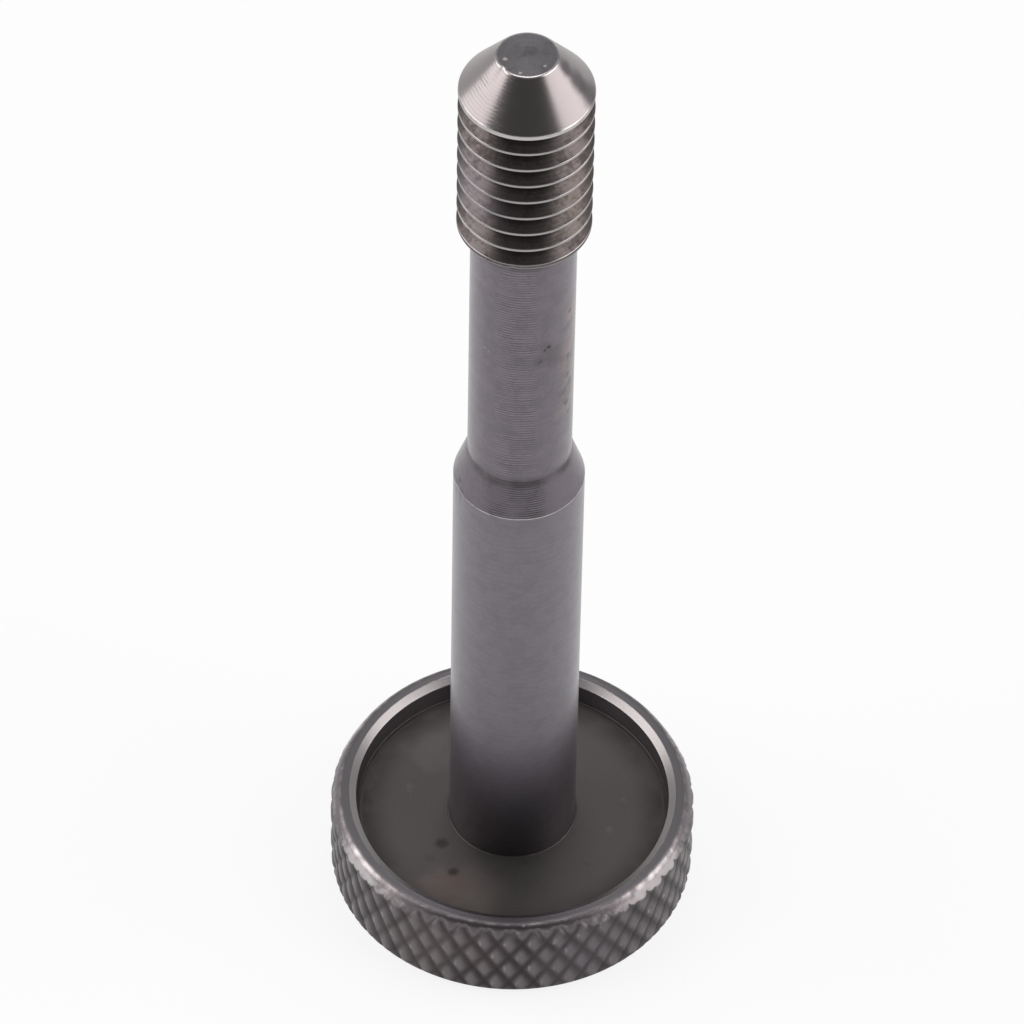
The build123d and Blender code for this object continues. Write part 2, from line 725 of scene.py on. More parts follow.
    def _uneven(self, angles: np.ndarray, height: float) -> np.ndarray:
        """Return how much lower each point of a row is rubbed, in millimetres."""
        grain = self.unevenness_grain
        low = [
            noise.noise(Vector((math.sin(a) * self.radius, math.cos(a) * self.radius, height)) * grain)
            for a in angles
        ]
        return self.unevenness * np.clip(np.array(low) + self.unevenness_level, 0, 1)

    def corners(self) -> list[Corner]:
        """Return the half-section from the middle of the rim's flat to the recess floor."""
        middle = (self.chamfer_radius + self.bevel_radius) / 2
        wall = self.recess_radius
        bevel_end = self.height - self.bevel_height
        return [
            Corner(middle, self.height, Zone.RIM),
            Corner(self.bevel_radius, self.height, Zone.RIM, self.edge_rounding, self.bevel_wear),
            Corner(wall, bevel_end, Zone.BEVEL, self.edge_rounding, self.recess_wear),
            Corner(wall, self.floor_height, Zone.WALL, self.corner_rounding, 0.0, self.corner_dirt),
        ]


@dataclass
class Stem:
    """The plain shank, the shoulder and the slim neck. Lengths are in millimetres.

    Attributes:
        radius: Radius of the shank.
        root_height: Height at which its straight side starts.
        shoulder_height: Height at which it ends.
        root_size: How far that lies above the recess floor.
        root_rounding: Rounding of its foot.
        root_dirt: Dirt around its foot.
        shoulder_length: Length of the sloped shoulder.
        shoulder_rounding: Rounding of the shoulder's outer edge.
        shoulder_wear: Wear of that edge.
        neck_diameter: Diameter of the neck.
        neck_rounding: Rounding between the shoulder and the neck.
        neck_dirt: Dirt in that rounding.
        burr: How uneven the shoulder's outer edge is.
        burr_reach: How far that shows above and below the edge.
        burr_grain: Fineness of that pattern.
    """

    radius: float
    root_height: float
    shoulder_height: float
    root_size: float = 0.12
    root_rounding: float = 0.1
    root_dirt: float = 0.5
    shoulder_length: float = 1.85
    shoulder_rounding: float = 0.1
    shoulder_wear: float = 0.9
    neck_diameter: float = 4.75
    neck_rounding: float = 0.25
    neck_dirt: float = 0.55
    burr: float = 0.025
    burr_reach: float = 0.22
    burr_grain: float = 1.7

    @property
    def neck_radius(self) -> float:
        """Radius of the neck."""
        return self.neck_diameter / 2

    @property
    def neck_height(self) -> float:
        """Height at which the neck starts."""
        return self.shoulder_height + self.shoulder_length

    def corners(self) -> list[Corner]:
        """Return the half-section from the foot of the shank to the start of the neck."""
        foot = self.root_height - self.root_size
        shoulder = self.shoulder_height
        neck = self.neck_radius
        return [
            Corner(self.radius, foot, Zone.RECESS, self.root_rounding, 0.0, self.root_dirt),
            Corner(self.radius, shoulder, Zone.SHANK, self.shoulder_rounding, self.shoulder_wear),
            Corner(neck, self.neck_height, Zone.SHOULDER, self.neck_rounding, 0.0, self.neck_dirt),
        ]

    def burred(self, height: float, angles: np.ndarray) -> np.ndarray:
        """Work out how far the shoulder's uneven edge lifts a ring of points.

        Args:
            height: The ring's height, in millimetres.
            angles: The angles of its points, in radians.

        Returns:
            The lift at each point, in millimetres.
        """
        near = max(0.0, 1 - abs(height - self.shoulder_height) / self.burr_reach)
        lift = [
            noise.noise(Vector((math.sin(a), math.cos(a), 0)) * self.burr_grain * self.radius)
            for a in angles
        ]
        return self.burr * near * np.array(lift)


@dataclass
class RingedEnd:
    """The end with level V grooves, and the cone of the tip. Lengths are in millimetres, angles in degrees.

    Attributes:
        radius: Radius of the crests.
        tip_height: Height of the tip.
        root_diameter: Diameter at the bottom of the grooves.
        pitch: Distance between the crests.
        grooves: Number of grooves.
        crest_land: Height of the crests' flats.
        last_land: Height of the flat below the cone.
        crest_rounding: Rounding of the crests' edges.
        crest_wear: Wear of those edges.
        root_rounding: Rounding at the bottom of the grooves.
        cone_rounding: Rounding of the edge at the cone's foot.
        cone_wear: Wear of that edge.
        end_land: Height of the flat above the neck.
        end_flank_angle: Slope of the flank below that flat.
        tip_length: Length of the cone.
        tip_flat_diameter: Diameter of the flat at its tip.
        tip_rounding: Rounding of the tip's edge.
        tip_wear: Wear of that edge.
    """

    radius: float
    tip_height: float
    root_diameter: float = 4.8
    pitch: float = 1.0
    grooves: int = 8
    crest_land: float = 0.12
    last_land: float = 0.17
    crest_rounding: float = 0.03
    crest_wear: float = 1.0
    root_rounding: float = 0.05
    cone_rounding: float = 0.2
    cone_wear: float = 0.85
    end_land: float = 0.2
    end_flank_angle: float = 30.0
    tip_length: float = 2.06
    tip_flat_diameter: float = 2.76
    tip_rounding: float = 0.12
    tip_wear: float = 1.0

    def corners(self, neck_radius: float) -> list[Corner]:
        """Work out the half-section from the end of the neck to the tip.

        Args:
            neck_radius: Radius of the neck, in millimetres.

        Returns:
            The corners, from low to high.
        """
        crest = self.tip_height - self.tip_length - self.grooves * self.pitch
        land = crest - self.end_land
        flank = (self.radius - neck_radius) * math.tan(math.radians(self.end_flank_angle))
        root = self.root_diameter / 2
        found = [Corner(neck_radius, land - flank, Zone.NECK, self.root_rounding), self._crest(land)]
        lands = [self.crest_land] * (self.grooves - 1) + [self.last_land]
        for height in lands:
            next_land = crest + self.pitch - height
            found.append(self._crest(crest))
            found.append(Corner(root, (crest + next_land) / 2, Zone.RINGS, self.root_rounding))
            found.append(self._crest(next_land))
            crest += self.pitch
        flat = self.tip_flat_diameter / 2
        found.append(Corner(self.radius, crest, Zone.CONE, self.cone_rounding, self.cone_wear))
        found.append(Corner(flat, self.tip_height, Zone.CONE, self.tip_rounding, self.tip_wear))
        found.append(Corner(flat / 2, self.tip_height, Zone.TIP))
        return found

    def _crest(self, height: float) -> Corner:
        """Return one edge of a crest."""
        return Corner(self.radius, height, Zone.RINGS, self.crest_rounding, self.crest_wear)


class Wiring:
    """Short calls that place nodes in one tree and join them."""

    def __init__(self, tree: bpy.types.NodeTree) -> None:
        """Keep the tree."""
        self.tree = tree

    def add(self, kind: str, **settings: object) -> bpy.types.Node:
        """Place a node.

        Args:
            kind: Blender's name of the node.
            settings: Properties of the node and their values.

        Returns:
            The new node.
        """
        node = self.tree.nodes.new(kind)
        for name, value in settings.items():
            setattr(node, name, value)
        return node

    def feed(self, target: bpy.types.NodeSocket, value: Feed) -> None:
        """Join a socket to another one, or set its value."""
        if isinstance(value, bpy.types.NodeSocket):
            self.tree.links.new(value, target)
        else:
            target.default_value = value

    def math(self, operation: str, *values: Feed, clamp: bool = False) -> bpy.types.NodeSocket:
        """Return the result of one sum.

        Args:
            operation: Blender's name of the sum.
            values: What goes into it.
            clamp: Whether the result stays between 0 and 1.
        """
        node = self.add("ShaderNodeMath", operation=operation, use_clamp=clamp)
        for socket, value in zip(node.inputs, values):
            self.feed(socket, value)
        return node.outputs[0]

    def scaled(self, vector: bpy.types.NodeSocket, factor: Feed) -> bpy.types.NodeSocket:
        """Return a vector times a factor."""
        node = self.add("ShaderNodeVectorMath", operation="SCALE")
        self.feed(node.inputs[0], vector)
        self.feed(node.inputs["Scale"], factor)
        return node.outputs[0]

    def ramp(
        self, value: Feed, low: Feed, high: Feed, start: Feed = 0.0, end: Feed = 1.0
    ) -> bpy.types.NodeSocket:
        """Return a value that goes smoothly from start to end as another goes from low to high."""
        node = self.add("ShaderNodeMapRange", interpolation_type="SMOOTHSTEP", clamp=True)
        sources = {"Value": value, "From Min": low, "From Max": high, "To Min": start, "To Max": end}
        for name, source in sources.items():
            self.feed(node.inputs[name], source)
        return node.outputs[0]

    def grain(self, vector: bpy.types.NodeSocket, scale: Feed, detail: float = 3.0) -> bpy.types.NodeSocket:
        """Return a noise value, about 0.5 on average, that changes over the surface."""
        node = self.add("ShaderNodeTexNoise", noise_dimensions="3D")
        self.feed(node.inputs["Vector"], vector)
        self.feed(node.inputs["Scale"], scale)
        node.inputs["Detail"].default_value = detail
        return node.outputs["Fac"]

    def lines(self, along: bpy.types.NodeSocket, scale: Feed, detail: float = 2.0) -> bpy.types.NodeSocket:
        """Return a noise value that changes along one direction only."""
        node = self.add("ShaderNodeTexNoise", noise_dimensions="1D")
        self.feed(node.inputs["W"], along)
        self.feed(node.inputs["Scale"], scale)
        node.inputs["Detail"].default_value = detail
        return node.outputs["Fac"]

    def blend(self, factor: Feed, first: Feed, second: Feed) -> bpy.types.NodeSocket:
        """Return a colour between two others."""
        node = self.add("ShaderNodeMix", data_type="RGBA", clamp_factor=True)
        self.feed(node.inputs[0], factor)
        for socket, value in ((node.inputs[6], first), (node.inputs[7], second)):
            self.feed(socket, value if isinstance(value, bpy.types.NodeSocket) else (*value, 1.0))
        return node.outputs[2]

    def group(self, tree: bpy.types.NodeTree, **values: Feed) -> bpy.types.Node:
        """Place a node group.

        Args:
            tree: The group.
            values: Its inputs by name, with spaces written as underscores.

        Returns:
            The group's node.
        """
        node = self.add("ShaderNodeGroup", node_tree=tree)
        for name, value in values.items():
            self.feed(node.inputs[name.replace("_", " ").capitalize()], value)
        return node


class Effects:
    """The surface effects that several finishes share, each a node group that is built once.

    A grain is the fineness of a noise, a share says how much of one thing goes into another, and a range says
    where something starts and where it is full.
    """

    NOISE_MIDDLE = 0.5
    CLOUD_DETAIL = 4.0
    FINE_DETAIL = 5.0

    # Turning marks: rings that drift a little, with finer lines among them and broad bands below
    DRIFT_GRAIN = 1.6
    DRIFT_SHARE = 0.8
    WAVE_SHARE = 0.8
    LINE_GRAIN = 1.3
    LINE_SHARE = 1.4
    BAND_GRAIN = 1.1
    BAND_SHARE = 0.15
    TONE_SHARE = 0.4
    STRIP_RANGE = (1.0, 0.6)
    OUTSIDE_STRIP = 0.15
    PATCH_GRAIN = 0.9
    PATCH_RANGE = (0.3, 0.7)
    FAINT_PATCH = 0.4

    # Edge wear, which also carries painted highlights
    WEAR_GRAIN = 2.2
    WEAR_RANGE = (0.25, 0.85)

    # Stains: clouds with a finer mottle, above a threshold that falls as they cover more
    MOTTLE_FINENESS = 4.3
    MOTTLE_SHARE = 0.4
    CLOUD_SHARE = 0.6
    STAIN_HIGHEST = 0.78
    STAIN_SPAN = 0.5
    STAIN_SOFTNESS = 0.22

    # Spots, and lines or bands around the axis
    SPOT_FUZZ = 1.6
    SPOT_RANGE = (1.0, 0.25)
    SCORE_RANGE = (1.0, 0.2)
    SCORE_GRAIN = 0.7
    SCORE_PATCH_RANGE = (0.6, 0.35)

    def __init__(self) -> None:
        """Build every group."""
        self.lathe = self._lathe()
        self.marks = self._marks()
        self.wear = self._wear()
        self.stain = self._stain()
        self.spot = self._spot()
        self.score = self._score()

    @staticmethod
    def _start(name: str, inputs: dict[str, str], outputs: dict[str, str]) -> tuple[Wiring, dict, dict]:
        """Make an empty group.

        Args:
            name: The group's name.
            inputs: Its inputs, each with its kind of socket.
            outputs: Its outputs, likewise.

        Returns:
            The group's wiring, its inputs as sources and its outputs as targets.
        """
        tree = bpy.data.node_groups.new(name, "ShaderNodeTree")
        for in_out, sockets in (("INPUT", inputs), ("OUTPUT", outputs)):
            for label, kind in sockets.items():
                tree.interface.new_socket(label, in_out=in_out, socket_type=f"NodeSocket{kind}")
        wiring = Wiring(tree)
        sources = {socket.name: socket for socket in wiring.add("NodeGroupInput").outputs if socket.name}
        targets = {socket.name: socket for socket in wiring.add("NodeGroupOutput").inputs if socket.name}
        return wiring, sources, targets

    def _lathe(self) -> bpy.types.NodeTree:
        """Return the group of a point's place, radius and height in millimetres and its angle in degrees."""
        wiring, given, out = self._start(
            "lathe place",
            {"Place": "Vector"},
            {"Place": "Vector", "Radius": "Float", "Height": "Float", "Angle": "Float"},
        )
        place = wiring.scaled(given["Place"], 1 / MM)
        parts = wiring.add("ShaderNodeSeparateXYZ")
        wiring.feed(parts.inputs[0], place)
        across = wiring.math("MULTIPLY", parts.outputs["X"], parts.outputs["X"])
        square = wiring.math("MULTIPLY_ADD", parts.outputs["Y"], parts.outputs["Y"], across)
        wiring.feed(out["Place"], place)
        wiring.feed(out["Radius"], wiring.math("SQRT", square))
        wiring.feed(out["Height"], parts.outputs["Z"])
        front = wiring.math("MULTIPLY", parts.outputs["Y"], -1.0)
        wiring.feed(out["Angle"], wiring.math("DEGREES", wiring.math("ARCTAN2", parts.outputs["X"], front)))
        return wiring.tree

    def _marks(self) -> bpy.types.NodeTree:
        """Return the group of turning marks, which stay crisp in one strip along the bolt, where their tone
        is partly painted reflection.
        """
        numbers = ("Along", "Angle", "Pitch", "Strip", "Reach")
        wiring, given, out = self._start(
            "turning marks",
            {"Place": "Vector", **dict.fromkeys(numbers, "Float")},
            {"Tone": "Float", "Relief": "Float"},
        )
        turns = wiring.math("DIVIDE", given["Along"], given["Pitch"])
        drift = wiring.math("SUBTRACT", wiring.grain(given["Place"], self.DRIFT_GRAIN), self.NOISE_MIDDLE)
        phase = wiring.math("MULTIPLY_ADD", drift, self.DRIFT_SHARE, turns)
        wave = wiring.math("SINE", wiring.math("MULTIPLY", phase, 2 * math.pi))
        lines = wiring.math("SUBTRACT", wiring.lines(turns, self.LINE_GRAIN), self.NOISE_MIDDLE)
        bands = wiring.math("SUBTRACT", wiring.lines(given["Along"], self.BAND_GRAIN), self.NOISE_MIDDLE)
        aside = wiring.math("ABSOLUTE", wiring.math("SUBTRACT", given["Angle"], given["Strip"]))
        aside = wiring.math("DIVIDE", aside, given["Reach"])
        # Partly painted reflection: the marks' tone stays crisp only in the strip where the light picks them
        # out
        crisp = wiring.ramp(aside, *self.STRIP_RANGE, self.OUTSIDE_STRIP)
        patches = wiring.grain(given["Place"], self.PATCH_GRAIN)
        patches = wiring.ramp(patches, *self.PATCH_RANGE, self.FAINT_PATCH)
        cut = wiring.math("MULTIPLY", wave, self.WAVE_SHARE)
        cut = wiring.math("MULTIPLY_ADD", lines, self.LINE_SHARE, cut)
        cut = wiring.math("MULTIPLY", cut, wiring.math("MULTIPLY", patches, crisp))
        wiring.feed(out["Relief"], cut)
        tone = wiring.math("MULTIPLY_ADD", bands, self.BAND_SHARE, self.NOISE_MIDDLE)
        tone = wiring.math("MULTIPLY_ADD", cut, self.TONE_SHARE, tone)
        wiring.feed(out["Tone"], wiring.math("MAXIMUM", wiring.math("MINIMUM", tone, 1.0), 0.0))
        return wiring.tree

    def _wear(self) -> bpy.types.NodeTree:
        """Return the group of edge wear and painted highlight: bare metal along the edges, broken up by a
        fine grain.
        """
        wiring, given, out = self._start(
            "edge wear", {"Place": "Vector", "Edge": "Float", "Break": "Float"}, {"Mask": "Float"}
        )
        grain = wiring.grain(given["Place"], self.WEAR_GRAIN, self.FINE_DETAIL)
        grain = wiring.math("SUBTRACT", grain, self.NOISE_MIDDLE)
        # The edge's wear here includes the painted highlights that it carries
        rubbed = wiring.math("MULTIPLY_ADD", grain, given["Break"], given["Edge"])
        wiring.feed(out["Mask"], wiring.ramp(rubbed, *self.WEAR_RANGE))
        return wiring.tree

    def _stain(self) -> bpy.types.NodeTree:
        """Return the group of stains: soft clouds with a finer mottle inside them."""
        wiring, given, out = self._start(
            "stain", {"Place": "Vector", "Scale": "Float", "Cover": "Float"}, {"Mask": "Float"}
        )
        clouds = wiring.grain(given["Place"], given["Scale"], self.CLOUD_DETAIL)
        finer = wiring.math("MULTIPLY", given["Scale"], self.MOTTLE_FINENESS)
        mottle = wiring.grain(given["Place"], finer, self.FINE_DETAIL)
        mixed = wiring.math("MULTIPLY", clouds, self.CLOUD_SHARE)
        mixed = wiring.math("MULTIPLY_ADD", mottle, self.MOTTLE_SHARE, mixed)
        low = wiring.math("MULTIPLY", given["Cover"], self.STAIN_SPAN)
        low = wiring.math("SUBTRACT", self.STAIN_HIGHEST, low)
        high = wiring.math("ADD", low, self.STAIN_SOFTNESS)
        wiring.feed(out["Mask"], wiring.ramp(mixed, low, high))
        return wiring.tree

    def _spot(self) -> bpy.types.NodeTree:
        """Return the group of one ragged spot at a set place."""
        wiring, given, out = self._start(
            "spot",
            {"Place": "Vector", "Middle": "Vector", "Size": "Float", "Ragged": "Float"},
            {"Mask": "Float"},
        )
        away = wiring.add("ShaderNodeVectorMath", operation="DISTANCE")
        wiring.feed(away.inputs[0], given["Place"])
        wiring.feed(away.inputs[1], given["Middle"])
        finer = wiring.math("DIVIDE", self.SPOT_FUZZ, given["Size"])
        fuzz = wiring.grain(given["Place"], finer, self.CLOUD_DETAIL)
        fuzz = wiring.math("SUBTRACT", fuzz, self.NOISE_MIDDLE)
        reach = wiring.math("DIVIDE", away.outputs["Value"], given["Size"])
        edge = wiring.math("MULTIPLY_ADD", fuzz, given["Ragged"], reach)
        wiring.feed(out["Mask"], wiring.ramp(edge, *self.SPOT_RANGE))
        return wiring.tree

    def _score(self) -> bpy.types.NodeTree:
        """Return the group of one line or band around the axis, at a set height or radius, for scored lines
        and painted shade.
        """
        wiring, given, out = self._start(
            "score",
            {"Place": "Vector", "Along": "Float", "At": "Float", "Width": "Float", "Patchy": "Float"},
            {"Mask": "Float"},
        )
        away = wiring.math("ABSOLUTE", wiring.math("SUBTRACT", given["Along"], given["At"]))
        line = wiring.ramp(wiring.math("DIVIDE", away, given["Width"]), *self.SCORE_RANGE)
        worn = wiring.grain(given["Place"], self.SCORE_GRAIN)
        worn = wiring.ramp(worn, *self.SCORE_PATCH_RANGE, 0.0, given["Patchy"])
        wiring.feed(out["Mask"], wiring.math("MULTIPLY", line, wiring.math("SUBTRACT", 1.0, worn)))
        return wiring.tree


@dataclass(frozen=True)
class Spot:
    """A mark at a set place.

    Attributes:
        middle: Its place in the bolt's frame, in millimetres.
        size: Half its width, in millimetres.
        colour: Its colour.
        strength: How far it covers the steel, from 0 to 1.
        ragged: How uneven its edge is.
    """

    middle: tuple[float, float, float]
    size: float
    colour: Colour
    strength: float = 1.0
    ragged: float = 1.2


@dataclass(frozen=True)
class RingMark:
    """A line or band around the axis, such as a scored line or a band of painted shade.

    Attributes:
        at: Its height or radius, in millimetres.
        width: Half its width, in millimetres.
        colour: Its colour.
        strength: How far it covers the steel, from 0 to 1.
        patchy: How far it fades in places, from 0 to 1.
    """

    at: float
    width: float
    colour: Colour
    strength: float
    patchy: float = 1.0


@dataclass(frozen=True)
class SteelFinish:
    """One finish of the steel. Lengths are in millimetres.

    Attributes:
        name: The material's name.
        colour: Colour of the clean steel.
        bare: Colour of its rubbed edges and of its painted highlights.
        dirty: Colour of what lies in its grooves and stains, and of its painted shade.
        rough: Roughness of the clean steel.
        rough_bare: Roughness of its rubbed edges.
        rough_dirty: Roughness of its stains.
        lay: Direction in which the turning marks follow each other.
        pitch: Distance between the turning marks.
        relief: Depth of the turning marks.
        marks_tone: How much the marks lighten and darken the colour.
        strip: Angle of the strip in which the marks stay crisp, in degrees, where the light picks them out;
            their tone there is partly painted reflection.
        strip_reach: Half the width of that strip, in degrees.
        oil: How much of a thin oily film there is, from 0 to 1.
        sheen_lay: How far the marks stretch the gloss across themselves.
        stain_scale: Fineness of the stains.
        stain_cover: Share of the surface that is stained.
        wear_break: How far the rubbed edges are broken up.
        spots: Marks at set places.
        ring_marks: Lines and bands around the axis, scored lines and painted shade among them.
    """

    name: str
    colour: Colour
    bare: Colour = (0.42, 0.40, 0.40)
    dirty: Colour = (0.06, 0.05, 0.045)
    rough: float = 0.32
    rough_bare: float = 0.24
    rough_dirty: float = 0.5
    lay: Lay = Lay.ALONG
    pitch: float = 0.14
    relief: float = 0.0012
    marks_tone: float = 0.12
    strip: float = 0.0
    strip_reach: float = ALL_ROUND
    oil: float = 0.0
    sheen_lay: float = 0.3
    stain_scale: float = 0.35
    stain_cover: float = 0.3
    wear_break: float = 0.7
    spots: tuple[Spot, ...] = ()
    ring_marks: tuple[RingMark, ...] = ()

    def material(self, effects: Effects) -> bpy.types.Material:
        """Build the material.

        Args:
            effects: The shared surface effects.

        Returns:
            The new material.
        """
        material = bpy.data.materials.new(self.name)
        material.use_nodes = True
        wiring = Wiring(material.node_tree)
        shader = material.node_tree.nodes["Principled BSDF"]
        coordinates = wiring.add("ShaderNodeTexCoord")
        lathe = wiring.group(effects.lathe, place=coordinates.outputs["Object"])
        place = lathe.outputs["Place"]
        # The wear attribute also carries painted highlights, and the dirt attribute carries painted shade
        edge = wiring.add("ShaderNodeAttribute", attribute_name=WEAR_AND_HIGHLIGHT_ATTRIBUTE).outputs["Fac"]
        cavity = wiring.add("ShaderNodeAttribute", attribute_name=DIRT_AND_SHADE_ATTRIBUTE).outputs["Fac"]
        marks = wiring.group(
            effects.marks,
            place=place,
            along=lathe.outputs[self.lay.value],
            angle=lathe.outputs["Angle"],
            pitch=self.pitch,
            strip=self.strip,
            reach=self.strip_reach,
        )
        worn = wiring.group(effects.wear, place=place, edge=edge, **{"break": self.wear_break})
        wear = worn.outputs["Mask"]
        stain = wiring.group(effects.stain, place=place, scale=self.stain_scale, cover=self.stain_cover)
        dirt = wiring.math("MULTIPLY", stain.outputs["Mask"], STAIN_STRENGTH)
        dirt = wiring.math("MAXIMUM", dirt, cavity)

        lit = tuple(channel * (1 + self.marks_tone) for channel in self.colour)
        dim = tuple(channel * (1 - self.marks_tone) for channel in self.colour)
        colour = wiring.blend(marks.outputs["Tone"], dim, lit)
        colour = wiring.blend(dirt, colour, self.dirty)
        colour = wiring.blend(wear, colour, self.bare)
        colour = self._marked(wiring, effects, lathe, colour)
        rough = wiring.ramp(dirt, 0.0, 1.0, self.rough, self.rough_dirty)
        rough = wiring.ramp(wear, 0.0, 1.0, rough, self.rough_bare)
        bump = wiring.add("ShaderNodeBump")
        bump.inputs["Distance"].default_value = self.relief * MM
        wiring.feed(bump.inputs["Height"], marks.outputs["Relief"])

        self._set_gloss(wiring, shader)
        wiring.feed(shader.inputs["Base Color"], colour)
        wiring.feed(shader.inputs["Roughness"], rough)
        wiring.feed(shader.inputs["Normal"], bump.outputs["Normal"])
        return material

    def _marked(
        self, wiring: Wiring, effects: Effects, lathe: bpy.types.Node, colour: bpy.types.NodeSocket
    ) -> bpy.types.NodeSocket:
        """Lay the spots and the scored lines over a colour.

        Args:
            wiring: The material's wiring.
            effects: The shared surface effects.
            lathe: The node that gives each point's place.
            colour: The colour below them.

        Returns:
            The colour with the marks.
        """
        place = lathe.outputs["Place"]
        along = lathe.outputs[self.lay.value]
        for spot in self.spots:
            mask = wiring.group(
                effects.spot, place=place, middle=spot.middle, size=spot.size, ragged=spot.ragged
            ).outputs["Mask"]
            colour = wiring.blend(wiring.math("MULTIPLY", mask, spot.strength), colour, spot.colour)
        for score in self.ring_marks:
            mask = wiring.group(
                effects.score, place=place, along=along, at=score.at, width=score.width, patchy=score.patchy
            ).outputs["Mask"]
            colour = wiring.blend(wiring.math("MULTIPLY", mask, score.strength), colour, score.colour)
        return colour

    def _set_gloss(self, wiring: Wiring, shader: bpy.types.Node) -> None:
        """Set what is the same all over the surface: metal, stretched gloss and oil."""
        shader.inputs["Metallic"].default_value = 1.0
        shader.inputs["Anisotropic"].default_value = self.sheen_lay
        shader.inputs["Anisotropic Rotation"].default_value = QUARTER_TURN
        shader.inputs["Coat Weight"].default_value = self.oil
        shader.inputs["Coat Roughness"].default_value = OIL_ROUGHNESS
        tangent = wiring.add("ShaderNodeTangent", direction_type="RADIAL", axis="Z")
        wiring.feed(shader.inputs["Tangent"], tangent.outputs["Tangent"])


# The two darkest colours also serve as painted shade: by the recess wall, on the cone's right side and below
# the ringed end
SOOT_AND_SHADE: Colour = (0.03, 0.026, 0.024)
SMUDGE_AND_SHADE: Colour = (0.062, 0.054, 0.058)
RUST: Colour = (0.15, 0.095, 0.075)
EARTH: Colour = (0.19, 0.165, 0.155)
BROWN: Colour = (0.21, 0.15, 0.148)
OLIVE: Colour = (0.13, 0.11, 0.09)
LILAC: Colour = (0.125, 0.112, 0.125)
PALE: Colour = (0.19, 0.18, 0.17)
BRIGHT: Colour = (0.55, 0.52, 0.51)

